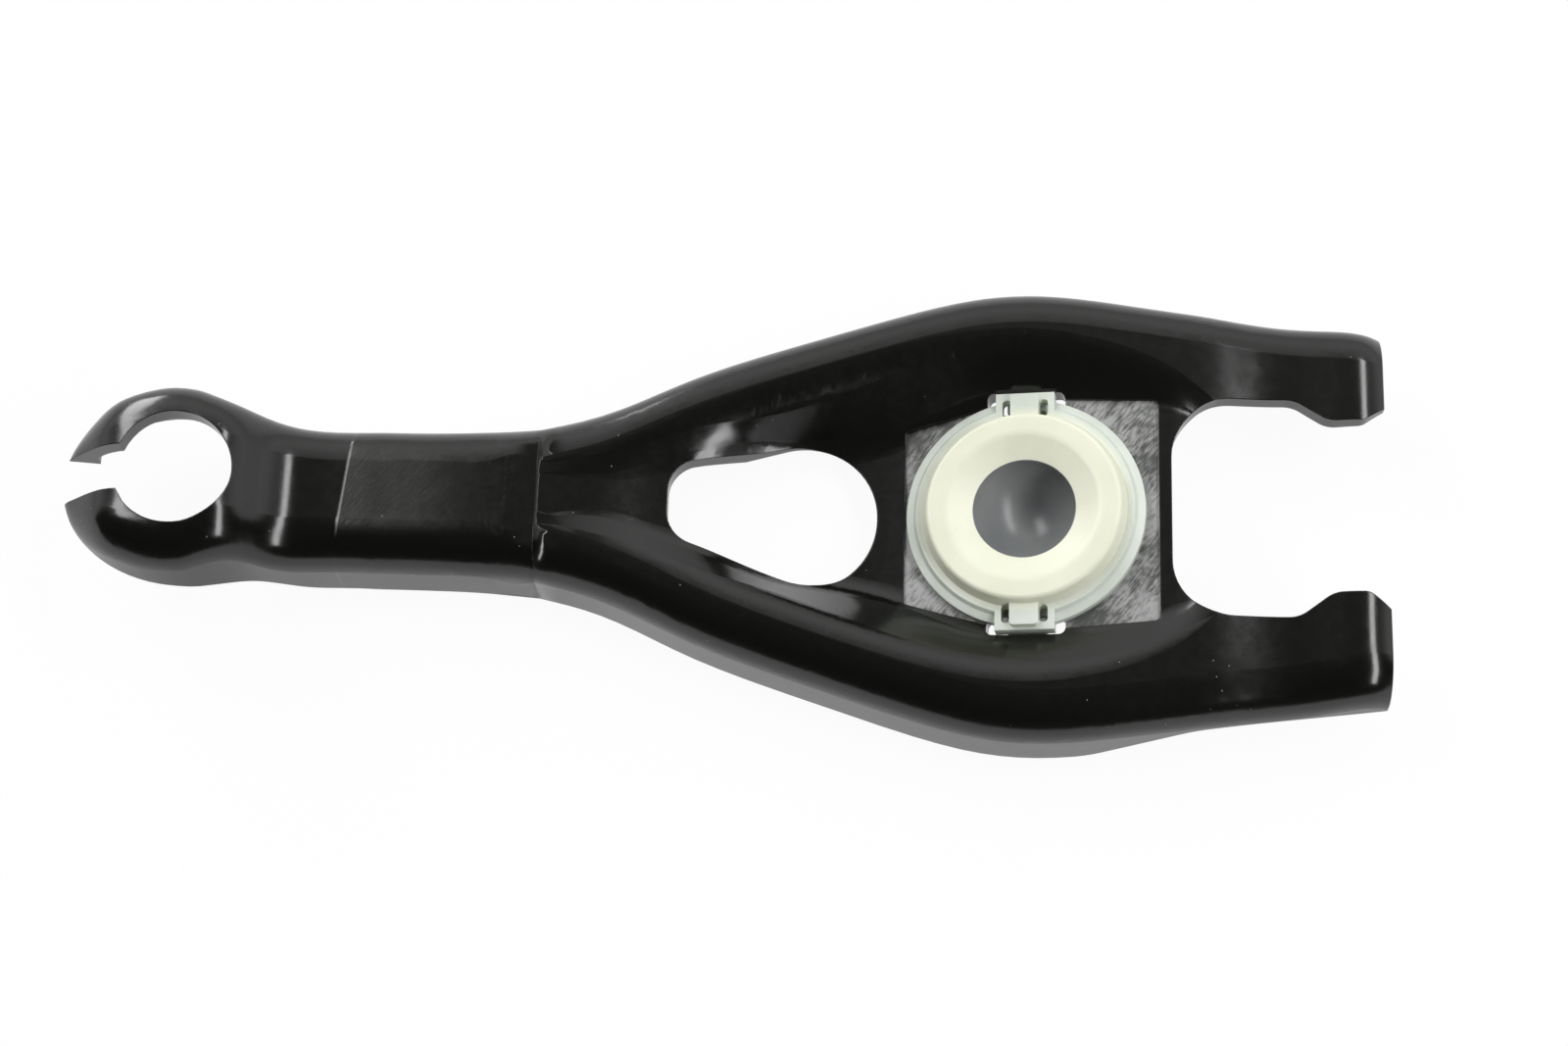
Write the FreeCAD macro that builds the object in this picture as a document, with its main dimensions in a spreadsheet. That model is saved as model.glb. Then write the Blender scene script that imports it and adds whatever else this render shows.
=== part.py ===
import FreeCAD, Part
import math
import os

import Sketcher

os.makedirs("parts", exist_ok=True)

Vector = FreeCAD.Vector
document = FreeCAD.newDocument("clutch_fork")
sheet = document.addObject("Spreadsheet::Sheet", "sizes")
rows_used = 0


class Size:
    """A size held twice: as a number, and as the expression a dimension is bound to."""

    def __init__(self, value, text=None):
        self.value = float(value)
        self.text = text if text else repr(float(value))

    def __add__(self, other):
        other = size(other)
        return Size(self.value + other.value, f"({self.text} + {other.text})")

    def __sub__(self, other):
        other = size(other)
        return Size(self.value - other.value, f"({self.text} - {other.text})")

    def __mul__(self, other):
        other = size(other)
        return Size(self.value * other.value, f"({self.text} * {other.text})")

    def __truediv__(self, other):
        other = size(other)
        return Size(self.value / other.value, f"({self.text} / {other.text})")

    def __neg__(self):
        return Size(-self.value, f"(-1 * {self.text})")


def size(item):
    return item if isinstance(item, Size) else Size(item)


def root(item):
    return Size(math.sqrt(item.value), f"sqrt({item.text})")


def keep(alias, value):
    """Put one driving dimension in the sheet and return it."""
    global rows_used
    rows_used += 1
    sheet.set(f"A{rows_used}", alias)
    sheet.set(f"B{rows_used}", str(value))
    sheet.setAlias(f"B{rows_used}", alias)
    return Size(value, f"sizes.{alias}")


# ---------------------------------------------------------------- driving dimensions, millimetres
# x runs from the rod eye to the tines, y across, z up; the pivot axis meets the pad at x = y = 0.
# The folded sides of the body stand on z = 0.
nothing = Size(0.0)
sheet_thick = keep("sheet_thick", 3.5)
skirt_low = keep("skirt_low", -6.0)
skirt_through = keep("skirt_through", 3.0)
edge_round = keep("edge_round", 7.5)
rim_round = keep("rim_round", 7.0)
floor_round = keep("floor_round", 6.0)

eye_x = keep("eye_x", -147.0)
eye_bore = keep("eye_bore", 10.2)
eye_slot = keep("eye_slot", 8.2)
eye_slot_reach = keep("eye_slot_reach", 24.0)
eye_half = keep("eye_half", 16.2)
eye_top = keep("eye_top", 26.0)
neck_half = keep("neck_half", 13.0)
neck_top = keep("neck_top", 16.2)
rib_top = keep("rib_top", 16.5)
ridge_rise = keep("ridge_rise", 1.5)
tip_x = keep("tip_x", 63.0)
plain_dip = keep("plain_dip", 0.1)

foot_nose_x = keep("foot_nose_x", -156.0)
foot_nose = keep("foot_nose", 14.0)
foot_nose_slope = keep("foot_nose_slope", 0.2)
foot_eye = keep("foot_eye", 13.2)
foot_tine = keep("foot_tine", 8.0)
foot_room = keep("foot_room", 40.0)
foot_flat_x = keep("foot_flat_x", -125.0)
foot_step_x = keep("foot_step_x", 12.0)
foot_step_run = keep("foot_step_run", 18.0)
foot_round = keep("foot_round", 12.0)

pad_height = keep("pad_height", 9.9)
pad_slope = keep("pad_slope", 0.17)
pad_tilt = keep("pad_tilt", round(math.degrees(math.atan(pad_slope.value)), 4))
pad_coin = keep("pad_coin", 0.4)
pivot_x = keep("pivot_x", 0.85)
pad_left = keep("pad_left", -21.5)
pad_left_half = keep("pad_left_half", 16.1)
pad_peak = keep("pad_peak", -1.6)
pad_peak_half = keep("pad_peak_half", 21.8)
pad_right = keep("pad_right", 23.2)
pad_right_half = keep("pad_right_half", 20.4)
pad_corner = keep("pad_corner", 0.8)
pad_clear = keep("pad_clear", 4.0)

ball_radius = keep("ball_radius", 9.0)
seat_centre = keep("seat_centre", 2.2)
seat_wall = keep("seat_wall", 0.8)
seat_clear = keep("seat_clear", 0.1)
dimple_wall = keep("dimple_wall", 2.0)
dimple_top = keep("dimple_top", 1.0)
dimple_mouth = keep("dimple_mouth", 1.5)
seat_radius = ball_radius + seat_wall + seat_clear

high_level = keep("high_level", 40.0)
window_level = keep("window_level", 6.0)
window_taper = keep("window_taper", 20.0)
window_rear = keep("window_rear", -62.0)
window_front = keep("window_front", -25.45)
window_rear_half = keep("window_rear_half", 6.5)
window_front_half = keep("window_front_half", 16.86)
window_rear_round = keep("window_rear_round", 6.0)
window_front_round = keep("window_front_round", 12.6)
window_depth = keep("window_depth", 24.0)

gap_wall = keep("gap_wall", 26.0)
gap_half = keep("gap_half", 20.0)
gap_round = keep("gap_round", 10.5)
lobe_start = keep("lobe_start", 47.3)
lobe_rear = keep("lobe_rear", 53.2)
lobe_front = keep("lobe_front", 59.2)
lobe_half = keep("lobe_half", 15.75)
lobe_open = keep("lobe_open", 20.5)
lobe_round = keep("lobe_round", 5.0)
nose_round = keep("nose_round", 2.5)

tab_slot_half = keep("tab_slot_half", 6.9)
tab_slot_near = keep("tab_slot_near", 18.9)
tab_slot_far = keep("tab_slot_far", 22.5)
tab_slot_round = keep("tab_slot_round", 1.2)
seat_room = keep("seat_room", 8.0)

ring_radius = keep("ring_radius", 21.05)
ring_rise = keep("ring_rise", 1.0)
ring_shoulder = keep("ring_shoulder", 19.7)
ring_top = keep("ring_top", 1.5)
step_radius = keep("step_radius", 19.2)
step_top = keep("step_top", 2.2)
disc_foot = keep("disc_foot", 18.0)
disc_radius = keep("disc_radius", 17.1)
disc_top = keep("disc_top", 4.7)
disc_round = keep("disc_round", 0.9)
funnel_start = keep("funnel_start", 13.6)
funnel_round = keep("funnel_round", 3.0)
mouth_radius = keep("mouth_radius", 8.97)
mouth_land = keep("mouth_land", 0.15)
mouth_level = keep("mouth_level", 2.9)
seat_overlap = keep("seat_overlap", 0.6)

tab_half = keep("tab_half", 5.2)
tab_near = keep("tab_near", 16.8)
tab_far = keep("tab_far", 22.0)
tab_top = keep("tab_top", 2.2)
tab_window_inner = keep("tab_window_inner", 2.5)
tab_window_outer = keep("tab_window_outer", 4.05)
tab_window_near = keep("tab_window_near", 17.5)
tab_window_far = keep("tab_window_far", 20.7)
tab_window_round = keep("tab_window_round", 0.7)
tongue_top = keep("tongue_top", 3.0)
leg_half = keep("leg_half", 3.4)
leg_near = keep("leg_near", 19.3)
leg_far = keep("leg_far", 21.4)
leg_length = keep("leg_length", 5.2)
barb_far = keep("barb_far", 22.8)
barb_top = keep("barb_top", 3.7)
barb_drop = keep("barb_drop", 1.4)


def pad_level(x):
    return pad_height + pad_slope * x


# Cross-sections of the pressed skin, from the eye to the tips: x, half width over the folded sides,
# height of the ribs, height of the floor between them, half width of that floor and of its rim.
def station(name, x, half, top, floor, floor_half, rim_half):
    return {
        "name": name,
        "x": x if isinstance(x, Size) else keep(f"{name}_x", x),
        "half": half if isinstance(half, Size) else keep(f"{name}_half", half),
        "top": top if isinstance(top, Size) else keep(f"{name}_top", top),
        "floor": floor if isinstance(floor, Size) else keep(f"{name}_floor", floor),
        "floor_half": keep(f"{name}_floor_half", floor_half),
        "rim_half": keep(f"{name}_rim_half", rim_half),
    }


def plain(name, x, half, top, floor_half=3.0, rim_half=6.0):
    held = top if isinstance(top, Size) else keep(f"{name}_top", top)
    return station(name, x, half, held, held - plain_dip, floor_half, rim_half)


def closed(name, x, half, top, rounding=edge_round, flare=0.0, splay=1.0, fall=1.0):
    """A cross-section without a floor, its sides flared at the foot.

    Splay and fall widen the offset where the skin leans away from x.
    """
    return {
        "name": name,
        "x": x if isinstance(x, Size) else keep(f"{name}_x", x),
        "half": half if isinstance(half, Size) else keep(f"{name}_half", half),
        "top": top if isinstance(top, Size) else keep(f"{name}_top", top),
        "round": rounding if isinstance(rounding, Size) else keep(f"{name}_round", rounding),
        "flare": keep(f"{name}_flare", flare),
        "splay": keep(f"{name}_splay", splay),
        "fall": keep(f"{name}_fall", fall),
    }


def floor_station(name, x, half, floor_half, rim_half):
    where = keep(f"{name}_x", x)
    return station(name, where, half, rib_top, pad_level(where), floor_half, rim_half)


middle_eye = closed("eye", eye_x, eye_half, eye_top, edge_round, 3.0)
nose_stations = [
    middle_eye,
    closed("nose_rear", -151.0, 16.0, eye_top, edge_round, 3.0, 1.02),
    closed("nose_cheek", -155.0, 15.0, 25.8, 7.5, 3.0, 1.06, 1.01),
    closed("nose_brow", -158.5, 13.6, 24.9, 7.0, 3.0, 1.15, 1.1),
    closed("nose_mid", -162.0, 11.5, 22.3, 6.5, 3.0, 1.3, 1.35),
    closed("nose_fore", -165.0, 8.8, 19.3, 5.0, 2.5, 1.5, 1.4),
    closed("nose_end", -167.4, 5.2, 17.0, 4.0, 2.0, 1.5, 1.4),
]
rear_stations = [
    middle_eye,
    closed("eye_back", -142.5, 15.3, eye_top, edge_round, 2.5),
    closed("step_head", -138.0, 14.0, 25.2, edge_round, 1.5),
    closed("step_upper", -134.8, 13.6, 22.6, edge_round, 0.5),
    closed("step_mid", -131.6, 13.5, 19.1),
    closed("step_foot", -128.5, 13.3, 17.1),
    closed("step_end", -124.0, neck_half, neck_top),
    closed("neck_rear", -113.0, neck_half, neck_top),
    closed("neck_mid", -102.0, neck_half, neck_top),
    closed("neck_front", -93.0, 13.3, neck_top),
    closed("joint_rear", -85.0, 14.1, neck_top),
]
joint = plain("joint", -85.0, 14.1, neck_top)
front_stations = [
    joint,
    station("throat", -78.0, 15.8, 16.3, 15.8, 3.5, 7.0),
    station("rise_foot", -70.0, 18.7, 16.4, 14.8, 4.0, 9.4),
    station("rise_head", -62.0, 22.5, rib_top, 13.5, 6.5, 12.5),
    station("body_rear", -53.0, 26.4, rib_top, 11.2, 9.0, 16.0),
    station("body_mid", -40.0, 31.0, rib_top, 5.8, 12.0, 19.6),
    floor_station("body_front", -23.0, 36.6, 14.5, 26.0),
    floor_station("shoulder_rear", -9.0, 40.4, 20.0, 29.4),
    floor_station("shoulder", 3.0, 41.5, 21.5, 30.4),
    floor_station("shoulder_front", 14.0, 40.6, 21.0, 29.0),
    floor_station("web", 24.0, 39.2, 19.5, 25.5),
    plain("tine_root", 33.0, 37.9, rib_top, 15.0, 20.0),
    plain("ridge_foot", 49.5, 35.7, rib_top, 9.0, 14.0),
    plain("ridge_crest", 56.0, 34.9, rib_top + ridge_rise, 9.0, 14.0),
    plain("tip", tip_x, 34.0, rib_top, 9.0, 14.0),
]


# ---------------------------------------------------------------- sketches
def unit(vector):
    return vector * (1.0 / vector.Length)


def rounded_outline(sketch, corners):
    """Draw a closed outline through corners (across, up, radius or None) and bind every one of them."""
    points = [Vector(across.value, up.value, 0) for across, up, radius in corners]
    count = len(points)
    leave, arrive, arcs = {}, {}, {}
    for index, (across, up, radius) in enumerate(corners):
        here = points[index]
        back = unit(points[index - 1] - here)
        ahead = unit(points[(index + 1) % count] - here)
        if radius is None:
            leave[index] = arrive[index] = here
            continue
        half_angle = 0.5 * math.acos(max(-1.0, min(1.0, back.dot(ahead))))
        reach = radius.value / math.tan(half_angle)
        arrive[index] = here + back * reach
        leave[index] = here + ahead * reach
        inward = unit(back + ahead)
        nearest = here + inward * (radius.value / math.sin(half_angle) - radius.value)
        turn = back.cross(ahead).z
        geometry = sketch.addGeometry(Part.Arc(arrive[index], nearest, leave[index]), False)
        arcs[index] = (geometry, (1, 2) if turn < 0 else (2, 1))
    lines = []
    for index in range(count):
        segment = Part.LineSegment(leave[index], arrive[(index + 1) % count])
        lines.append(sketch.addGeometry(segment, False))
    rules, bound = [], []
    for index, (across, up, radius) in enumerate(corners):
        before, after = lines[index - 1], lines[index]
        if radius is None:
            rules.append(Sketcher.Constraint("Coincident", before, 2, after, 1))
            holder, place = after, 1
        else:
            arc, (first, last) = arcs[index]
            rules.append(Sketcher.Constraint("Tangent", before, 2, arc, first))
            rules.append(Sketcher.Constraint("Tangent", after, 1, arc, last))
            holder = sketch.addGeometry(Part.Point(points[index]), True)
            place = 1
            rules.append(Sketcher.Constraint("PointOnObject", holder, place, before))
            rules.append(Sketcher.Constraint("PointOnObject", holder, place, after))
            bound.append((len(rules), radius))
            rules.append(Sketcher.Constraint("Radius", arc, radius.value))
        bound.append((len(rules), across))
        rules.append(Sketcher.Constraint("DistanceX", -1, 1, holder, place, across.value))
        bound.append((len(rules), up))
        rules.append(Sketcher.Constraint("DistanceY", -1, 1, holder, place, up.value))
    start = sketch.ConstraintCount if hasattr(sketch, "ConstraintCount") else len(sketch.Constraints)
    sketch.addConstraint(rules)
    for number, held in bound:
        sketch.setExpression(f"Constraints[{start + number}]", held.text)


def origin_plane(body, role):
    for feature in body.Origin.OriginFeatures:
        if feature.Role == role:
            return feature


def new_sketch(body, name, role, base=(0, 0, 0), turn=0.0, axis=(0, 0, 1)):
    """A sketch on an origin plane of the body, moved by bound offsets in the plane's own directions."""
    sketch = body.newObject("Sketcher::SketchObject", name)
    sketch.AttachmentSupport = [(origin_plane(body, role), "")]
    sketch.MapMode = "FlatFace"
    held = [size(item) for item in base]
    turn = size(turn)
    place = FreeCAD.Placement(Vector(*[item.value for item in held]), FreeCAD.Rotation(Vector(*axis), turn.value))
    sketch.AttachmentOffset = place
    for letter, item in zip("xyz", held):
        if item.text.startswith(("sizes", "(")):
            sketch.setExpression(f"AttachmentOffset.Base.{letter}", item.text)
    if turn.text.startswith(("sizes", "(")):
        sketch.setExpression("AttachmentOffset.Rotation.Angle", turn.text)
    return sketch


def plain_corners(row, inset, low):
    """A cross-section with a flat top, drawn in from the outside by inset."""
    half = row["half"] - inset * row["splay"]
    top = row["top"] - inset * row["fall"]
    outer = row["round"] - inset
    foot = half + row["flare"]
    return [(foot, low, None), (half, top, outer), (-half, top, outer), (-foot, low, None)]


def floored_corners(row, inset, low):
    """A cross-section with a sunk floor between two ribs, drawn in from the outside by inset."""
    slope = (row["top"] - row["floor"]) / (row["rim_half"] - row["floor_half"])
    shift = inset * slope / (root(slope * slope + 1.0) + 1.0)
    half = row["half"] - inset
    top = row["top"] - inset
    floor = row["floor"] - inset
    rim = row["rim_half"] + shift
    flat = row["floor_half"] + shift
    outer, brow, sole = edge_round - inset, rim_round - inset, floor_round + inset
    return [
        (half, low, None),
        (half, top, outer),
        (rim, top, brow),
        (flat, floor, sole),
        (-flat, floor, sole),
        (-rim, top, brow),
        (-half, top, outer),
        (-half, low, None),
    ]


# ---------------------------------------------------------------- features shared by both pieces
def settle(feature, grows):
    """Recompute after one feature and check that it changed the piece the way it should."""
    body = feature.getParentGeoFeatureGroup()
    document.recompute()
    earlier = [item for item in body.Group if item.isDerivedFrom("PartDesign::Feature") and item is not feature]
    before = earlier[-1].Shape.Volume if earlier else 0.0
    after = feature.Shape.Volume
    if (after > before) is not grows:
        raise ValueError(f"{feature.Name} did not change the piece as meant")
    return feature


def add_loft(body, kind, name, sketches):
    loft = body.newObject(kind, name)
    loft.Profile = sketches[0]
    loft.Sections = sketches[1:]
    return settle(loft, kind == "PartDesign::AdditiveLoft")


def turn_about(body, kind, name, sketch, angle, axis="V_Axis"):
    turned = body.newObject(kind, name)
    turned.Profile = sketch
    turned.ReferenceAxis = (sketch, [axis])
    turned.Midplane = angle < 360.0
    turned.Angle = angle
    return settle(turned, kind == "PartDesign::Revolution")


def cut_away(body, name, sketch, length=None, both_ways=False, upward=False, taper=None):
    pocket = body.newObject("PartDesign::Pocket", name)
    pocket.Profile = sketch
    if length is None:
        pocket.Type = "ThroughAll"
    else:
        pocket.Type = "Length"
        pocket.Length = length.value
        pocket.setExpression("Length", length.text)
    pocket.Midplane = both_ways
    pocket.Reversed = upward
    if taper is not None:
        pocket.TaperAngle = taper.value
        pocket.setExpression("TaperAngle", taper.text)
    return settle(pocket, False)


def raise_up(body, name, sketch, length, downward=False):
    pad = body.newObject("PartDesign::Pad", name)
    pad.Profile = sketch
    pad.Length = length.value
    pad.setExpression("Length", length.text)
    pad.Reversed = downward
    return settle(pad, True)


def draw_circle(sketch, radius, across=None):
    centre = Vector(across.value if across else 0.0, 0, 0)
    ring = sketch.addGeometry(Part.Circle(centre, Vector(0, 0, 1), radius.value), False)
    number = sketch.addConstraint(Sketcher.Constraint("Radius", ring, radius.value))
    sketch.setExpression(f"Constraints[{number}]", radius.text)
    if across is None:
        sketch.addConstraint(Sketcher.Constraint("Coincident", ring, 3, -1, 1))
        return
    sketch.addConstraint(Sketcher.Constraint("PointOnObject", ring, 3, -1))
    number = sketch.addConstraint(Sketcher.Constraint("DistanceX", -1, 1, ring, 3, across.value))
    sketch.setExpression(f"Constraints[{number}]", across.text)


def mirrored(upper):
    """Corners of one side followed by the same corners on the other side, back to the start."""
    return upper + [(across, -up, radius) for across, up, radius in reversed(upper)]


# ---------------------------------------------------------------- lever
lever = document.addObject("PartDesign::Body", "lever")
lever.Label = "fork_lever"
document.recompute()


def skin_sections(prefix, rows, corners, inset, low, beyond=nothing):
    sketches = []
    for row in rows:
        x = row["x"] + beyond if row is front_stations[-1] else row["x"]
        sketch = new_sketch(lever, prefix + row["name"], "YZ_Plane", (0, 0, x))
        rounded_outline(sketch, corners(row, inset, low))
        sketches.append(sketch)
    return sketches


deep_low = skirt_low - skirt_through
rear_skin = skin_sections("rear_outer_", rear_stations, plain_corners, nothing, skirt_low)
add_loft(lever, "PartDesign::AdditiveLoft", "rear_skin", rear_skin)
front_skin = skin_sections("front_outer_", front_stations, floored_corners, nothing, skirt_low)
add_loft(lever, "PartDesign::AdditiveLoft", "front_skin", front_skin)
nose_skin = skin_sections("nose_outer_", nose_stations, plain_corners, nothing, skirt_low)
add_loft(lever, "PartDesign::AdditiveLoft", "nose_skin", nose_skin)
rear_hollow = skin_sections("rear_inner_", rear_stations, plain_corners, sheet_thick, deep_low)
add_loft(lever, "PartDesign::SubtractiveLoft", "rear_hollow", rear_hollow)
front_hollow = skin_sections("front_inner_", front_stations, floored_corners, sheet_thick, deep_low, skirt_through)
add_loft(lever, "PartDesign::SubtractiveLoft", "front_hollow", front_hollow)
nose_hollow = skin_sections("nose_inner_", nose_stations[:-2], plain_corners, sheet_thick, deep_low)
add_loft(lever, "PartDesign::SubtractiveLoft", "nose_hollow", nose_hollow)

# The lower edges of the folded sides: high at the eye, flat under the body, stepped up at the tines.
trim_sketch = new_sketch(lever, "foot_line", "XZ_Plane")
rounded_outline(trim_sketch, [
    (foot_nose_x - foot_room, foot_nose + foot_room * foot_nose_slope, None),
    (foot_nose_x, foot_nose, foot_round),
    (eye_x, foot_eye, foot_round),
    (foot_flat_x, nothing, foot_round),
    (foot_step_x, nothing, foot_round),
    (foot_step_x + foot_step_run, foot_tine, foot_round),
    (tip_x + foot_room, foot_tine, None),
    (tip_x + foot_room, deep_low - foot_room, None),
    (foot_nose_x - foot_room, deep_low - foot_room, None),
])
cut_away(lever, "foot_trim", trim_sketch, both_ways=True)

# Seat for the pivot cup: a coined flat, then a round dimple pressed down through it.


def seat_sketch(body, name, role="XZ_Plane", rise=nothing):
    """A sketch square to the pivot axis, or in the plane that holds it."""
    height = pad_level(pivot_x)
    if role == "XZ_Plane":
        return new_sketch(body, name, role, (pivot_x, height, 0), pad_tilt, (0, 0, 1))
    lean = root(pad_slope * pad_slope + 1.0)
    base = (pivot_x - rise * pad_slope / lean, 0, height + rise / lean)
    return new_sketch(body, name, role, base, -pad_tilt, (0, 1, 0))


def bowl(sketch, radius, centre, level):
    """Half outline of a round bowl about the sketch's upright axis, closed at one level."""
    drop = centre.value - level.value
    mouth = math.sqrt(radius.value ** 2 - drop ** 2)
    middle = Vector(0, centre.value, 0)
    low = Vector(0, centre.value - radius.value, 0)
    rim = Vector(mouth, level.value, 0)
    swing = math.atan2(-drop, mouth)
    halfway = 0.5 * (swing - 0.5 * math.pi)
    nearest = middle + Vector(math.cos(halfway), math.sin(halfway), 0) * radius.value
    arc = sketch.addGeometry(Part.Arc(low, nearest, rim), False)
    top = sketch.addGeometry(Part.LineSegment(rim, Vector(0, level.value, 0)), False)
    stem = sketch.addGeometry(Part.LineSegment(Vector(0, level.value, 0), low), False)
    sketch.addConstraint([
        Sketcher.Constraint("Coincident", arc, 2, top, 1),
        Sketcher.Constraint("Coincident", top, 2, stem, 1),
        Sketcher.Constraint("Coincident", stem, 2, arc, 1),
        Sketcher.Constraint("Horizontal", top),
        Sketcher.Constraint("PointOnObject", stem, 1, -2),
        Sketcher.Constraint("PointOnObject", stem, 2, -2),
        Sketcher.Constraint("PointOnObject", arc, 3, -2),
    ])
    for rule, held in (
        (Sketcher.Constraint("Radius", arc, radius.value), radius),
        (Sketcher.Constraint("DistanceY", -1, 1, arc, 3, centre.value), centre),
        (Sketcher.Constraint("DistanceY", -1, 1, top, 2, level.value), level),
    ):
        number = sketch.addConstraint(rule)
        sketch.setExpression(f"Constraints[{number}]", held.text)


dimple_outside = seat_sketch(lever, "dimple_outside")
bowl(dimple_outside, seat_radius + dimple_wall, seat_centre, -dimple_top)
turn_about(lever, "PartDesign::Revolution", "dimple", dimple_outside, 360.0)
dimple_inside = seat_sketch(lever, "dimple_inside")
bowl(dimple_inside, seat_radius, seat_centre, dimple_mouth)
turn_about(lever, "PartDesign::Groove", "dimple_hollow", dimple_inside, 360.0)

pad_sketch = seat_sketch(lever, "pad_outline", "XY_Plane", -pad_coin)
rounded_outline(pad_sketch, mirrored([
    (pad_left, pad_left_half, pad_corner),
    (pad_peak, pad_peak_half, pad_corner),
    (pad_right, pad_right_half, pad_corner),
]))
cut_away(lever, "pad_coining", pad_sketch, length=pad_clear, upward=True)

# Openings punched through the sheet.
high_place = (0, 0, high_level)
eye_sketch = new_sketch(lever, "eye_hole", "XY_Plane", high_place)
draw_circle(eye_sketch, eye_bore, eye_x)
cut_away(lever, "eye_punch", eye_sketch)

slot_sketch = new_sketch(lever, "eye_mouth", "XY_Plane", high_place)
slot_half = eye_slot / 2.0
rounded_outline(slot_sketch, mirrored([
    (eye_x - eye_slot_reach, slot_half, None),
    (eye_x, slot_half, None),
]))
cut_away(lever, "eye_slot_punch", slot_sketch)



def window_sketch(name):
    sketch = new_sketch(lever, name, "XY_Plane", (0, 0, window_level))
    rounded_outline(sketch, mirrored([
        (window_rear, window_rear_half, window_rear_round),
        (window_front, window_front_half, window_front_round),
    ]))
    return sketch


cut_away(lever, "window_above", window_sketch("window_outline"), length=window_depth, upward=True)
cut_away(lever, "window_below", window_sketch("window_lower_outline"), length=window_depth, taper=window_taper)

gap_sketch = new_sketch(lever, "gap_outline", "XY_Plane", high_place)
rounded_outline(gap_sketch, mirrored([
    (gap_wall, gap_half, gap_round),
    (lobe_start, gap_half, lobe_round),
    (lobe_rear, lobe_half, lobe_round),
    (lobe_front, lobe_half, nose_round),
    (tip_x + skirt_through, lobe_open, None),
]))
cut_away(lever, "gap_punch", gap_sketch)

# Two slots of the pad that the snap tabs of the cup go through.
for side, name in ((1.0, "far_tab_slot"), (-1.0, "near_tab_slot")):
    tab_sketch = seat_sketch(lever, name, "XY_Plane", pad_clear)
    near, far = tab_slot_near * side, tab_slot_far * side
    rounded_outline(tab_sketch, [
        (-tab_slot_half, near, tab_slot_round),
        (tab_slot_half, near, tab_slot_round),
        (tab_slot_half, far, tab_slot_round),
        (-tab_slot_half, far, tab_slot_round),
    ])
    cut_away(lever, name + "_punch", tab_sketch, length=pad_clear + seat_room)


# ---------------------------------------------------------------- pivot cup
cup = document.addObject("PartDesign::Body", "cup")
cup.Label = "pivot_cup"
document.recompute()

ring_sketch = seat_sketch(cup, "ring_profile")
rounded_outline(ring_sketch, [
    (nothing, -pad_coin, None),
    (ring_radius, -pad_coin, None),
    (ring_radius, ring_rise, None),
    (ring_shoulder, ring_top, None),
    (step_radius, step_top, None),
    (disc_foot, step_top, None),
    (disc_radius, disc_top, disc_round),
    (funnel_start, disc_top, funnel_round),
    (mouth_radius + mouth_land, mouth_level, None),
    (nothing, mouth_level, None),
])
turn_about(cup, "PartDesign::Revolution", "ring", ring_sketch, 360.0)
seat_outside = seat_sketch(cup, "seat_outside")
bowl(seat_outside, ball_radius + seat_wall, seat_centre, seat_overlap)
turn_about(cup, "PartDesign::Revolution", "seat", seat_outside, 360.0)
seat_inside = seat_sketch(cup, "seat_inside")
bowl(seat_inside, ball_radius, seat_centre, mouth_level)
turn_about(cup, "PartDesign::Groove", "ball_hollow", seat_inside, 360.0)


def box_sketch(name, level, low_x, high_x, near, far, radius=None):
    sketch = seat_sketch(cup, name, "XY_Plane", level)
    rounded_outline(sketch, [
        (low_x, near, radius),
        (high_x, near, radius),
        (high_x, far, radius),
        (low_x, far, radius),
    ])
    return sketch


# Snap tabs on both sides: a bar outside the ring, two narrow windows, a tongue and a barbed leg.
for side, name in ((1.0, "far"), (-1.0, "near")):
    bar = box_sketch(f"{name}_bar_outline", -pad_coin, -tab_half, tab_half, tab_near * side, tab_far * side)
    raise_up(cup, f"{name}_bar", bar, tab_top + pad_coin)
    tongue = box_sketch(f"{name}_tongue_outline", step_top, -tab_window_inner, tab_window_inner,
                        tab_near * side, leg_far * side, tab_window_round)
    raise_up(cup, f"{name}_tongue", tongue, tongue_top - step_top + pad_coin, downward=False)
    for hand, hand_name in ((1.0, "right"), (-1.0, "left")):
        hole = box_sketch(f"{name}_{hand_name}_hole", tongue_top + pad_coin,
                          tab_window_inner * hand, tab_window_outer * hand,
                          tab_window_near * side, tab_window_far * side, tab_window_round)
        cut_away(cup, f"{name}_{hand_name}_window", hole, length=tongue_top + pad_coin * 3.0)
    leg = box_sketch(f"{name}_leg_outline", nothing, -leg_half, leg_half, leg_near * side, leg_far * side)
    raise_up(cup, f"{name}_leg", leg, leg_length, downward=True)
    barb = box_sketch(f"{name}_barb_outline", -(barb_top + pad_coin), -leg_half, leg_half,
                      leg_near * side, barb_far * side)
    raise_up(cup, f"{name}_barb", barb, barb_drop, downward=True)


# ---------------------------------------------------------------- checks and files
# Both pieces move together so that the origin lies under the middle of the whole fork.
middle_shift = -(nose_stations[-1]["x"] + tip_x) / 2.0
for body in (lever, cup):
    body.Placement = FreeCAD.Placement(Vector(middle_shift.value, 0, 0), FreeCAD.Rotation())
    body.setExpression("Placement.Base.x", middle_shift.text)

document.recompute()
for item in document.Objects:
    if "Invalid" in item.State or "Error" in item.State:
        raise ValueError(f"{item.Name} did not compute: {item.State}")
for body in (lever, cup):
    if body.Shape.isNull() or not body.Shape.isValid() or len(body.Shape.Solids) != 1:
        raise ValueError(f"{body.Label} is not one valid solid")
    body.Shape.exportStep(f"parts/{body.Label}.step")
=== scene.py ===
import math

import bpy
import numpy as np
from mathutils import Matrix, Vector
from mathutils.bvhtree import BVHTree


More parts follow.
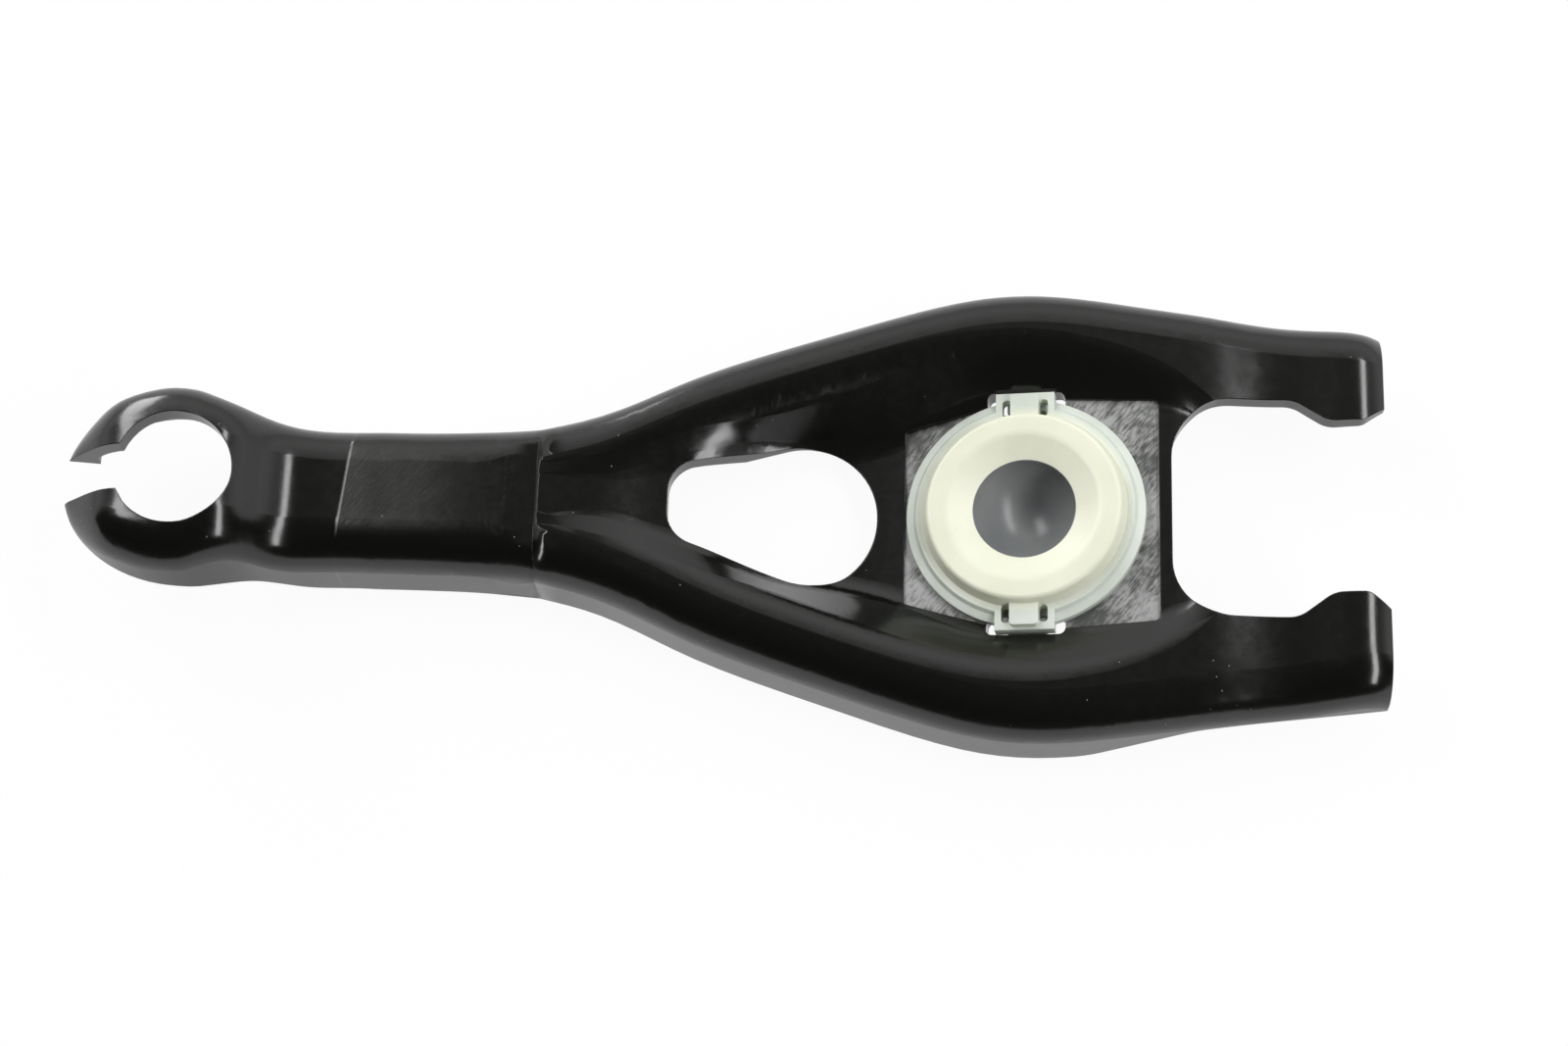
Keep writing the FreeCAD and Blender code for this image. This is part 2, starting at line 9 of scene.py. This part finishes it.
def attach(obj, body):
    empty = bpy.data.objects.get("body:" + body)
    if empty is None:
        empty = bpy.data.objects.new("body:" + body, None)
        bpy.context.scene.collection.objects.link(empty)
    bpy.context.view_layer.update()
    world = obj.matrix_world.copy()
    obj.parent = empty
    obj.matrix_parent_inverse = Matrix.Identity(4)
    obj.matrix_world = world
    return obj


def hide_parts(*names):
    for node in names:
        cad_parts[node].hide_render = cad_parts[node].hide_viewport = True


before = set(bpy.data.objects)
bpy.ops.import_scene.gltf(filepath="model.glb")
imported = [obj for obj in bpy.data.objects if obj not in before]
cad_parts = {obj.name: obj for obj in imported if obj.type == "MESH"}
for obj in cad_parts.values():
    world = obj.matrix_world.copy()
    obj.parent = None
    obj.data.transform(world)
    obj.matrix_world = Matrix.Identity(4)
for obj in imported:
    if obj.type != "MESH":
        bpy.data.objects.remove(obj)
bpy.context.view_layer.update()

MM = 0.001

# The pivot cup's axis meets the coined pad at PIVOT and leans with the pad, and so does its ball seat.
PAD_SLOPE = math.atan(0.17)
PAD_NORMAL = Vector((-math.sin(PAD_SLOPE), 0, math.cos(PAD_SLOPE)))
PIVOT = Vector((53.05, 0, 10.044)) * MM
BALL_CENTRE = PIVOT + PAD_NORMAL * 2.2 * MM
BALL_SEAT_RADIUS = 9.12 * MM

# The cup's thin lip is milkier than the rest, from LIP_START on and fully from LIP_FULL.
LIP_START, LIP_FULL = 17.2 * MM, 19.4 * MM

# The coat is worn off the flat pad under the cup, where the cosine to PAD_NORMAL is over PAD_FACING.
PAD_REAR, PAD_FRONT = 31.9 * MM, 76.0 * MM
PAD_HALF_WIDTH = 22.2 * MM
PAD_FACING = 0.996

# The neck's flat top has a slanting crease, a rubbed patch that fades towards the fork, and the seam
# where neck and fork meet, which is shaded as if it were level.
CREASE_X, CREASE_SLANT = -66.45 * MM, -0.10
RUBBED_FULL, RUBBED_END = -60.0 * MM, -34.0 * MM
SEAM_REAR, SEAM_FRONT, SEAM_SOFTNESS = -36.0 * MM, -29.0 * MM, 4.0 * MM

# The neck is evened from NECK_REAR to NECK_JOINT. A higher power widens it later.
NECK_REAR, NECK_JOINT = -60.8 * MM, -32.8 * MM
NECK_TOP = 16.2 * MM
WIDENING_POWER = 2.6

# It is measured on lines across it, the last of them just short of the joint, by rays from outside.
MEASURED_LINES = 120
MEASURED_HEIGHTS = np.array([0.6, 2.5, 4.5, 6.5, 8.5, 10.0, 11.5]) * MM
JOINT_GAP = 0.01 * MM
RAY_START = 100.0 * MM

# The camera looks at AIM, and SEEN_WIDTH is how wide the view is there.
AIM = Vector((10.61, -2.5416, 10.0)) * MM
DISTANCE = 560.0 * MM
SEEN_WIDTH = 275.3728 * MM
TILT, YAW, ROLL = math.radians(19.877), math.radians(2.0), math.radians(-1.8)

# The floor lies just under the part.
FLOOR_REACH = 1500.0 * MM
FLOOR_DROP = 0.05 * MM

WHITE = (1, 1, 1, 1)
PAPER_WHITE = (0.92, 0.92, 0.92, 1)

COAT_BLACK = (0.0024, 0.0027, 0.0017, 1)
RUBBED_BROWN = (0.016, 0.015, 0.011, 1)
# A painted highlight: the light grey of the thin line along the neck's crease.
PAINTED_CREASE_HIGHLIGHT = (0.30, 0.30, 0.28, 1)
DUST_GREY = (0.35, 0.36, 0.34, 1)
PAD_DARK = (0.05, 0.053, 0.049, 1)
PAD_BRIGHT = (0.34, 0.345, 0.34, 1)

# Each nylon colour has two shades that soft clouds run between.
CREAM = (0.76, 0.775, 0.625, 1), (0.80, 0.81, 0.67, 1)
MILKY = (0.60, 0.645, 0.57, 1), (0.68, 0.72, 0.66, 1)
SEAT_GREY = (0.22, 0.23, 0.235, 1), (0.26, 0.265, 0.26, 1)

# The coat's roughness has two levels that the mottle runs between, and the rubbed patch adds to it.
COAT_ROUGHNESS = 0.16, 0.20
RUBBED_ROUGHNESS = 0.16
PAD_ROUGHNESS = 0.45
COAT_REFRACTION = 1.6
NYLON_ROUGHNESS, SEAT_ROUGHNESS = 0.38, 0.30


# ---------------------------------------------------------------- helpers
class Shader:
    """A node material or world with short calls for the nodes that it needs."""

    # a mix node's two inputs and its output for each kind of value
    mix_sockets = {"FLOAT": (2, 3, 0), "VECTOR": (4, 5, 1), "RGBA": (6, 7, 2)}

    def __init__(self, owner):
        owner.use_nodes = True
        self.nodes = owner.node_tree.nodes
        self.links = owner.node_tree.links

    def put(self, value, socket):
        """Link another node's output to the socket, or set the socket's own value."""
        if isinstance(value, bpy.types.NodeSocket):
            self.links.new(value, socket)
        else:
            socket.default_value = value

    def put_all(self, values, sockets):
        for value, socket in zip(values, sockets):
            self.put(value, socket)

    def node(self, kind, output=0, settings=None, **inputs):
        """A new node's output. An input's name has _ for each space."""
        node = self.nodes.new(kind)
        for name, value in (settings or {}).items():
            setattr(node, name, value)
        for name, value in inputs.items():
            self.put(value, node.inputs[name.replace("_", " ")])
        return node.outputs[output]

    def math(self, operation, *values):
        node = self.nodes.new("ShaderNodeMath")
        node.operation = operation
        self.put_all(values, node.inputs)
        return node.outputs[0]

    def product(self, first, *others):
        for other in others:
            first = self.math("MULTIPLY", first, other)
        return first

    def vector(self, operation, *values, output="Vector"):
        node = self.nodes.new("ShaderNodeVectorMath")
        node.operation = operation
        self.put_all(values, node.inputs)
        return node.outputs[output]

    def split(self, vector):
        """The vector's x, y and z."""
        node = self.nodes.new("ShaderNodeSeparateXYZ")
        self.put(vector, node.inputs[0])
        return node.outputs

    def step(self, value, low, high, start=0.0, end=1.0):
        """start below low, end above high, smooth between."""
        node = self.nodes.new("ShaderNodeMapRange")
        node.interpolation_type = "SMOOTHSTEP"
        self.put_all((value, low, high, start, end), node.inputs)
        return node.outputs[0]

    def band(self, value, low, high, softness):
        """1 from low to high and 0 outside, with edges as wide as softness."""
        half = softness / 2
        rising = self.step(value, low - half, low + half)
        falling = self.step(value, high - half, high + half, 1.0, 0.0)
        return self.product(rising, falling)

    def mix(self, share, first, second, kind="RGBA"):
        """first where share is 0, second where it is 1, both of one kind."""
        node = self.nodes.new("ShaderNodeMix")
        node.data_type = kind
        first_input, second_input, output = self.mix_sockets[kind]
        self.put(share, node.inputs[0])
        self.put(first, node.inputs[first_input])
        self.put(second, node.inputs[second_input])
        return node.outputs[output]

    def blend(self, share, first, second):
        """The same as mix, for two shaders."""
        node = self.nodes.new("ShaderNodeMixShader")
        self.put_all((share, first, second), node.inputs)
        return node.outputs[0]

    def noise(self, coords, scale, detail=2.0, roughness=0.5):
        """Noise from 0 to 1 with scale patches to a metre."""
        return self.node("ShaderNodeTexNoise",
                         Vector=coords, Scale=scale, Detail=detail, Roughness=roughness)

    def bevel(self, radius):
        """The surface's direction with its edges rounded."""
        return self.node("ShaderNodeBevel", settings={"samples": 6}, Radius=radius)

    def bump(self, height, strength, distance, normal):
        return self.node("ShaderNodeBump",
                         Height=height, Strength=strength, Distance=distance, Normal=normal)

    def ramp(self, value, stops):
        """Grey levels at places from 0 to 1, straight between."""
        node = self.nodes.new("ShaderNodeValToRGB")
        elements = node.color_ramp.elements
        while len(elements) < len(stops):
            elements.new(0.5)
        for element, (place, level) in zip(elements, stops):
            element.position = place
            element.color = (level, level, level, 1)
        self.put(value, node.inputs[0])
        return node.outputs[0]


def new_material(name):
    material = bpy.data.materials.new(name)
    shader = Shader(material)
    return material, shader, shader.nodes["Principled BSDF"]


def add_object(name, data):
    thing = bpy.data.objects.new(name, data)
    bpy.context.scene.collection.objects.link(thing)
    return thing


def placed(place, across, upward, back):
    """The matrix of a lamp or camera at a place, with its own three directions."""
    turned = Matrix((across, upward, back)).transposed()
    return Matrix.Translation(place) @ turned.to_4x4()


# ---------------------------------------------------------------- black coat
def pad_mask(s, facing, x, side):
    """1 on the flat coined pad, 0 elsewhere."""
    flat = s.vector("DOT_PRODUCT", facing, tuple(PAD_NORMAL), output="Value")
    return s.product(
        s.math("GREATER_THAN", flat, PAD_FACING),
        s.math("GREATER_THAN", x, PAD_REAR),
        s.math("LESS_THAN", x, PAD_FRONT),
        s.math("LESS_THAN", side, PAD_HALF_WIDTH),
    )


def rubbed_mask(s, x, slanted, side):
    """1 on the neck's flat top from the crease on, fading towards the fork and the sides."""
    return s.product(
        s.step(slanted, CREASE_X - 0.15 * MM, CREASE_X + 0.35 * MM),
        s.step(x, RUBBED_FULL, RUBBED_END, 1.0, 0.0),
        s.step(side, 6.0 * MM, 9.0 * MM, 1.0, 0.0),
    )


def painted_crease_highlight(s, slanted, side):
    """A thin highlight painted along the crease, as a light grey line in the coat's colour."""
    line = s.band(slanted, CREASE_X - 0.175 * MM, CREASE_X + 0.175 * MM, 0.25 * MM)
    return s.product(line, s.step(side, 6.5 * MM, 9.0 * MM, 0.35, 0.0))


def steel_grain(s, place):
    """Fine strokes across the steel, all in one slanting direction."""
    strokes = s.node("ShaderNodeMapping", settings={"vector_type": "TEXTURE"}, Vector=place,
                     Scale=(0.4 * MM, 2.2 * MM, 2.2 * MM), Rotation=(0, 0, math.radians(-40)))
    return s.noise(strokes, 1.0, 3.0, 0.6)


def dust_specks(s, place, patches):
    """Small light specks that keep to some of the patches."""
    distance = s.node("ShaderNodeTexVoronoi", "Distance", Vector=place, Scale=420.0)
    return s.product(s.math("LESS_THAN", distance, 0.05), s.math("GREATER_THAN", patches, 0.54))


def pad_wear(s, grain, mottle, patches):
    """How far the pad is worn bright: strokes and mottle in larger patches."""
    fine = s.math("ADD", s.product(grain, 0.6), s.product(mottle, 0.4))
    coarse = s.product(s.math("SUBTRACT", patches, 0.5), 0.8)
    return s.math("ADD", fine, coarse)


def coat_height(s, peel, grain, rubbed, slanted):
    """The coat's slight waves, the grain of the rubbed patch and the step at the crease."""
    waves = s.math("ADD", s.product(peel, 0.35), s.product(grain, rubbed, 0.5))
    fold = s.step(slanted, CREASE_X - 0.45 * MM, CREASE_X + 0.25 * MM, 0.0, 1.2)
    return s.math("ADD", waves, fold)


def coat_edges(s, facing, x):
    """The surface's direction with its edges rounded, and level where the top crosses the seam."""
    seam = s.band(x, SEAM_REAR, SEAM_FRONT, SEAM_SOFTNESS)
    upward = s.step(s.split(facing)[2], 0.86, 0.95)
    return s.mix(s.product(seam, upward), s.bevel(0.3 * MM), (0, 0, 1), "VECTOR")


def black_coat():
    """Glossy black dip coat over pressed steel, with the worn coined pad under the cup."""
    material, s, surface = new_material("black_dip_coat")
    place = s.node("ShaderNodeTexCoord", "Object")
    facing = s.node("ShaderNodeNewGeometry", "Normal")
    x, y = s.split(place)[:2]
    side = s.math("ABSOLUTE", y)
    slanted = s.math("ADD", x, s.product(y, CREASE_SLANT))

    pad = pad_mask(s, facing, x, side)
    rubbed = rubbed_mask(s, x, slanted, side)
    grain = steel_grain(s, place)
    mottle = s.noise(place, 520.0, 4.0, 0.65)
    peel = s.noise(place, 130.0)
    patches = s.noise(place, 90.0)
    wear = pad_wear(s, grain, mottle, patches)

    colour = s.mix(rubbed, COAT_BLACK, s.mix(grain, COAT_BLACK, RUBBED_BROWN))
    # A highlight is painted along the crease as a thin light grey line.
    colour = s.mix(painted_crease_highlight(s, slanted, side), colour, PAINTED_CREASE_HIGHLIGHT)
    colour = s.mix(s.product(dust_specks(s, place, patches), 0.6), colour, DUST_GREY)
    pad_colour = s.mix(s.step(wear, 0.36, 0.66), PAD_DARK, PAD_BRIGHT)
    s.put(s.mix(pad, colour, pad_colour), surface.inputs["Base Color"])

    roughness = s.step(mottle, 0.3, 0.75, *COAT_ROUGHNESS)
    roughness = s.math("ADD", roughness, s.product(rubbed, RUBBED_ROUGHNESS))
    s.put(s.mix(pad, roughness, PAD_ROUGHNESS, "FLOAT"), surface.inputs["Roughness"])
    s.put(COAT_REFRACTION, surface.inputs["IOR"])

    edges = coat_edges(s, facing, x)
    coat_bump = s.bump(coat_height(s, peel, grain, rubbed, slanted), 0.12, 0.6 * MM, edges)
    pad_bump = s.bump(wear, 0.45, 0.3 * MM, edges)
    s.put(s.mix(pad, coat_bump, pad_bump, "VECTOR"), surface.inputs["Normal"])
    return material


# ---------------------------------------------------------------- nylon
def nylon():
    """Natural moulded nylon, cream with a milky lip and a grey ball seat."""
    material, s, surface = new_material("natural_nylon")
    place = s.node("ShaderNodeTexCoord", "Object")
    from_ball = s.vector("DISTANCE", place, tuple(BALL_CENTRE), output="Value")
    seat = s.math("LESS_THAN", from_ball, BALL_SEAT_RADIUS)
    from_pivot = s.vector("SUBTRACT", place, tuple(PIVOT))
    spoke = s.vector("CROSS_PRODUCT", from_pivot, tuple(PAD_NORMAL))
    lip = s.step(s.vector("LENGTH", spoke, output="Value"), LIP_START, LIP_FULL)

    cloud = s.step(s.noise(place, 110.0, 3.0, 0.55), 0.3, 0.7)
    ring = s.mix(lip, s.mix(cloud, *CREAM), s.mix(cloud, *MILKY))
    s.put(s.mix(seat, ring, s.mix(cloud, *SEAT_GREY)), surface.inputs["Base Color"])

    s.put(s.mix(seat, NYLON_ROUGHNESS, SEAT_ROUGHNESS, "FLOAT"), surface.inputs["Roughness"])
    s.put(s.product(s.math("SUBTRACT", 1.0, seat), 0.35), surface.inputs["Subsurface Weight"])
    s.put((0.9, 1.0, 0.7), surface.inputs["Subsurface Radius"])
    s.put(2.0 * MM, surface.inputs["Subsurface Scale"])
    grain = s.bump(s.noise(place, 700.0), 0.06, 0.2 * MM, s.bevel(0.12 * MM))
    s.put(grain, surface.inputs["Normal"])
    return material


# ---------------------------------------------------------------- the lever with an even neck
def grid_place(value, lines):
    """Which line each value is at or past, as a number with a fraction, short of the last line."""
    return np.clip(np.interp(value, lines, np.arange(len(lines))), 0, len(lines) - 1.001)


def grid_value(grid, xs, zs, x, z):
    """The grid's value at each (x, z), linear between its lines."""
    column, row = grid_place(x, xs), grid_place(z, zs)
    i, j = column.astype(int), row.astype(int)
    u, v = column - i, row - j
    rear = grid[i, j] * (1 - v) + grid[i, j + 1] * v
    front = grid[i + 1, j] * (1 - v) + grid[i + 1, j + 1] * v
    return rear * (1 - u) + front * u


class Neck:
    """The lever's mesh as arrays, in which the neck and its corner normals are reshaped."""

    def __init__(self, mesh):
        self.faces = [tuple(face.vertices) for face in mesh.polygons]
        self.places = np.array([tuple(vertex.co) for vertex in mesh.vertices])
        self.normals = np.array([tuple(normal.vector) for normal in mesh.corner_normals])
        x = self.places[:, 0]
        self.moved = (x > NECK_REAR) & (x < NECK_JOINT + JOINT_GAP)
        owners = np.array([loop.vertex_index for loop in mesh.loops])
        self.turned = self.moved[owners]
        self.turned_owners = owners[self.turned]
        self.xs = np.linspace(NECK_REAR, NECK_JOINT - 2 * JOINT_GAP, MEASURED_LINES)
        self.share = (self.xs - self.xs[0]) / (self.xs[-1] - self.xs[0])

    def hits(self, starts, direction):
        """Where a ray from each start first meets the mesh."""
        tree = BVHTree.FromPolygons([Vector(place) for place in self.places], self.faces)
        return np.array([tuple(tree.ray_cast(Vector(start), Vector(direction))[0]) for start in starts])

    def even_height(self):
        """Bring the top to one height between its two ends, which stay."""
        xs = self.xs
        rise = NECK_TOP / self.hits([(x, 0, RAY_START) for x in xs], (0, 0, -1))[:, 2]
        rise += (1 - rise[0]) * (1 - self.share) + (1 - rise[-1]) * self.share
        x, _, z = self.places[self.turned_owners].T
        nx, ny, nz = self.normals[self.turned].T
        nz = nz / np.interp(x, xs, rise)
        nx = nx - z * np.interp(x, xs, np.gradient(rise, xs)) * nz
        self.normals[self.turned] = np.stack([nx, ny, nz], axis=1)
        self.places[self.moved, 2] *= np.interp(self.places[self.moved, 0], xs, rise)

    def even_sides(self):
        """Spread the sides steadily from the width at one end to the width at the other."""
        xs, zs = self.xs, MEASURED_HEIGHTS
        starts = [(x, RAY_START, z) for x in xs for z in zs]
        halves = self.hits(starts, (0, -1, 0))[:, 1].reshape(len(xs), len(zs))
        widening = self.share[:, None] ** WIDENING_POWER
        spread = (halves[0] + (halves[-1] - halves[0]) * widening) / halves
        along, upright = np.gradient(spread, xs, zs)
        x, y, z = self.places[self.turned_owners].T
        nx, ny, nz = self.normals[self.turned].T
        ny = ny / grid_value(spread, xs, zs, x, z)
        nx = nx - y * grid_value(along, xs, zs, x, z) * ny
        nz = nz - y * grid_value(upright, xs, zs, x, z) * ny * ((z > zs[0]) & (z < zs[-1]))
        fresh = np.stack([nx, ny, nz], axis=1)
        self.normals[self.turned] = fresh / np.linalg.norm(fresh, axis=1)[:, None]
        x, _, z = self.places[self.moved].T
        self.places[self.moved, 1] *= grid_value(spread, xs, zs, x, z)


def lever_skin(lever):
    """A copy of the lever whose neck keeps one height and widens steadily up to the fork."""
    mesh = lever.data.copy()
    neck = Neck(mesh)
    neck.even_height()
    neck.even_sides()
    mesh.vertices.foreach_set("co", neck.places.ravel())
    mesh.normals_split_custom_set(neck.normals.tolist())
    mesh.update()
    skin = add_object("fork_lever_skin", mesh)
    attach(skin, "root")
    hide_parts("fork_lever")
    return skin


def dress(piece, material):
    """Give the piece one material in place of its own."""
    piece.data.materials.clear()
    piece.data.materials.append(material)


# ---------------------------------------------------------------- surroundings
def studio_world():
    """White to the camera. To the part it is dark in front and overhead, and pale behind and below."""
    world = bpy.data.worlds.new("studio")
    bpy.context.scene.world = world
    s = Shader(world)
    s.nodes.clear()
    y, z = s.split(s.node("ShaderNodeTexCoord", "Generated"))[1:]
    turn = s.math("DIVIDE", s.math("ADD", s.math("ARCTAN2", y, z), math.pi), 2 * math.pi)
    # degrees from straight up towards +y, and the grey level there
    levels = [
        (-180, 0.80), (-125, 0.80), (-108, 0.55), (-96, 0.08), (-60, 0.05), (0, 0.07),
        (22, 0.12), (31, 0.50), (45, 0.85), (62, 0.95), (85, 0.62), (180, 0.80),
    ]
    surround = s.ramp(turn, [((degrees + 180.0) / 360.0, level) for degrees, level in levels])
    seen = s.node("ShaderNodeBackground", Color=WHITE, Strength=1.0)
    mirrored = s.node("ShaderNodeBackground", Color=surround, Strength=1.0)
    to_camera = s.node("ShaderNodeLightPath", "Is Camera Ray")
    output = s.nodes.new("ShaderNodeOutputWorld")
    s.put(s.blend(to_camera, mirrored, seen), output.inputs["Surface"])


def floor_paper():
    """Near white to the camera. To mirrored rays it is dark in front and pale behind the part."""
    material = bpy.data.materials.new("white_floor")
    s = Shader(material)
    s.nodes.clear()
    rays = s.nodes.new("ShaderNodeLightPath").outputs
    seen = rays["Is Camera Ray"]
    mirrored = s.math("MAXIMUM", rays["Is Glossy Ray"], rays["Is Transmission Ray"])
    y = s.split(s.node("ShaderNodeNewGeometry", "Position"))[1]
    near = s.step(y, -240.0 * MM, -100.0 * MM, 0.08, 0.88)
    level = s.math("ADD", seen, s.product(s.math("SUBTRACT", 1.0, seen), near))
    glow = s.node("ShaderNodeEmission", Color=WHITE, Strength=level)
    paper = s.node("ShaderNodeBsdfDiffuse", Color=PAPER_WHITE)
    glowing = s.math("MAXIMUM", s.product(seen, 0.94), mirrored)
    output = s.nodes.new("ShaderNodeOutputMaterial")
    s.put(s.blend(glowing, paper, glow), output.inputs["Surface"])
    return material


def add_floor():
    mesh = bpy.data.meshes.new("floor")
    reach = FLOOR_REACH
    corners = [(-reach, -reach, 0), (reach, -reach, 0), (reach, reach, 0), (-reach, reach, 0)]
    mesh.from_pydata(corners, [], [(0, 1, 2, 3)])
    mesh.materials.append(floor_paper())
    floor = add_object("floor", mesh)
    floor.location = (0, 0, -FLOOR_DROP)


def add_softbox(name, start, end, width, watts):
    """A strip lamp from start to end that faces the part."""
    start, end = Vector(start), Vector(end)
    middle = (start + end) / 2
    back = middle.normalized()
    along = end - start
    across = (along - back * along.dot(back)).normalized()
    lamp = bpy.data.lights.new(name, "AREA")
    lamp.shape = "RECTANGLE"
    lamp.size = along.length
    lamp.size_y = width
    lamp.energy = watts
    softbox = add_object(name, lamp)
    softbox.matrix_world = placed(middle, across, back.cross(across), back)


def add_camera():
    away = Vector((math.sin(YAW) * math.cos(TILT), -math.sin(TILT), math.cos(YAW) * math.cos(TILT)))
    side = Vector((0, 1, 0)).cross(away).normalized()
    rise = away.cross(side)
    across = side * math.cos(ROLL) - rise * math.sin(ROLL)
    upward = side * math.sin(ROLL) + rise * math.cos(ROLL)
    optics = bpy.data.cameras.new("camera")
    optics.sensor_width = 36.0
    optics.lens = optics.sensor_width * DISTANCE / SEEN_WIDTH
    optics.clip_start = 10.0 * MM
    optics.clip_end = 10000.0 * MM
    camera = add_object("camera", optics)
    camera.matrix_world = placed(AIM + away * DISTANCE, across, upward, away)
    bpy.context.scene.camera = camera


dress(lever_skin(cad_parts["fork_lever"]), black_coat())
dress(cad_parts["pivot_cup"], nylon())
studio_world()
add_floor()
add_softbox("softbox_right", start=(0.44, 0.50, 0.85), end=(0.52, -0.75, 0.30), width=0.16, watts=5.4)
add_softbox("softbox_left", start=(-0.50, 0.02, 0.90), end=(-0.50, 1.00, 0.06), width=0.22, watts=6.2)
add_camera()
bpy.context.scene.view_settings.view_transform = "Standard"
